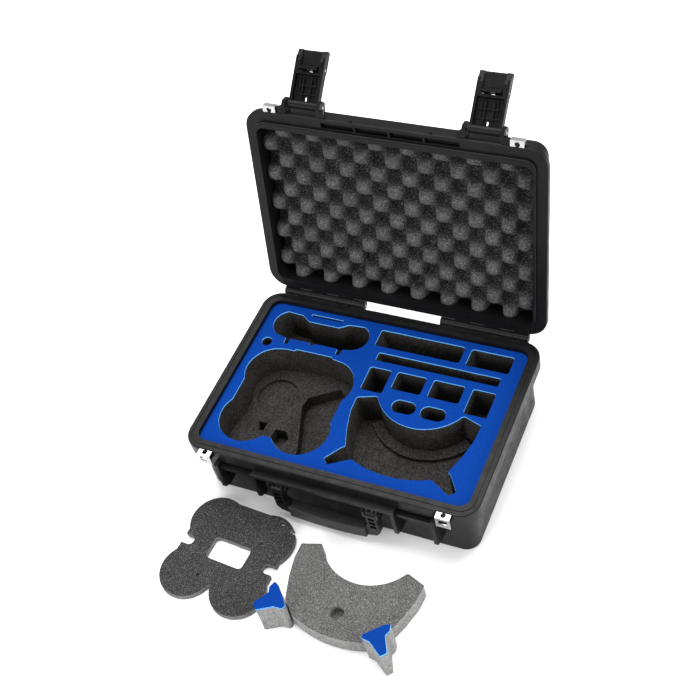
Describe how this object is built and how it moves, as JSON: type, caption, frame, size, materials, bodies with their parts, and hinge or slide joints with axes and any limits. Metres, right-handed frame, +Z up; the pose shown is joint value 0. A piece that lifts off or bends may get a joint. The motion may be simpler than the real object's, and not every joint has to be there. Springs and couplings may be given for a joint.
{
  "type": "hard carrying case with foam insert",
  "caption": "Hard plastic carrying case, lid open on rear hinges, with latches, folding handle, cut blue-topped foam insert, egg-crate lid foam and loose foam inserts in front.",
  "frame": {"origin": "middle of the case's underside, on the surface that it stands on", "axes": "+X to the right along the front, +Y towards the hinges, +Z up"},
  "size_m": [0.463, 0.6715, 0.4886],
  "materials": {
    "black_plastic": "fine moulded texture",
    "blue_foam": "closed-cell foam, skinned",
    "black_foam": "cut closed-cell foam",
    "grey_foam": "cut closed-cell foam",
    "egg_crate_foam": "open-cell foam",
    "stainless": "brushed",
    "pin_steel": "satin",
    "gasket_rubber": "matte",
    "grip_rubber": "matte"
  },
  "bodies": {
    "base": {"base_shell": "black_plastic", "base_padlock_plate_left": "stainless", "base_padlock_plate_right": "stainless", "hinge_pin_left": "pin_steel", "hinge_pin_right": "pin_steel", "handle_pin_left": "pin_steel", "handle_pin_right": "pin_steel", "pressure_valve": "black_plastic", "foam_top_sheet": "blue_foam", "foam_core": "black_foam", "foam_bottom": "black_foam", "drone_cradle": "black_foam", "goggle_step": "black_foam"},
    "lid": {"lid_shell": "black_plastic", "lid_gasket": "gasket_rubber", "lid_egg_crate_foam": "egg_crate_foam", "lid_padlock_plate_left": "stainless", "lid_padlock_plate_right": "stainless", "latch_pin_left": "pin_steel", "latch_pin_right": "pin_steel"},
    "handle": {"handle_frame": "black_plastic", "handle_grip": "grip_rubber"},
    "drone_insert": {"drone_pad": "grey_foam"},
    "goggle_insert": {"goggle_pad_lower_layer": "grey_foam", "goggle_pad_upper_layer": "grey_foam", "goggle_pad_posts": "grey_foam", "goggle_pad_blue_caps": "blue_foam"},
    "latch_left": {"latch_body_left": "black_plastic", "trigger_pin_left": "pin_steel", "trigger_spring_left": "pin_steel"},
    "trigger_left": {"trigger_left": "black_plastic"},
    "latch_right": {"latch_body_right": "black_plastic", "trigger_pin_right": "pin_steel", "trigger_spring_right": "pin_steel"},
    "trigger_right": {"trigger_right": "black_plastic"}
  },
  "joints": [
    {"name": "lid_hinge", "type": "hinge", "parent": "base", "child": "lid", "pos_m": [0, 0.165, 0.115], "axis": [1, 0, 0], "range_deg": [0, 102]},
    {"name": "handle_swing", "type": "hinge", "parent": "base", "child": "handle", "pos_m": [0, -0.1645, 0.074], "axis": [-1, 0, 0], "range_deg": [0, 90]},
    {"name": "drone_insert_lift", "type": "slide", "parent": "base", "child": "drone_insert", "axis": [0, 0, 1], "range_m": [0, 0.2]},
    {"name": "goggle_insert_lift", "type": "slide", "parent": "base", "child": "goggle_insert", "axis": [0, 0, 1], "range_m": [0, 0.2]},
    {"name": "latch_left_swing", "type": "hinge", "parent": "lid", "child": "latch_left", "pos_m": [-0.138, 0.24891, 0.4376], "axis": [1, 0, 0], "range_deg": [0, 127]},
    {"name": "trigger_left_press", "type": "hinge", "parent": "latch_left", "child": "trigger_left", "pos_m": [-0.138, 0.29087, 0.47011], "axis": [-1, 0, 0], "range_deg": [0, 20], "stiffness_Nm_per_rad": 0.06, "springref_deg": -17.19},
    {"name": "latch_right_swing", "type": "hinge", "parent": "lid", "child": "latch_right", "pos_m": [0.138, 0.24891, 0.4376], "axis": [1, 0, 0], "range_deg": [0, 127]},
    {"name": "trigger_right_press", "type": "hinge", "parent": "latch_right", "child": "trigger_right", "pos_m": [0.138, 0.29087, 0.47011], "axis": [-1, 0, 0], "range_deg": [0, 20], "stiffness_Nm_per_rad": 0.06, "springref_deg": -17.19}
  ]
}
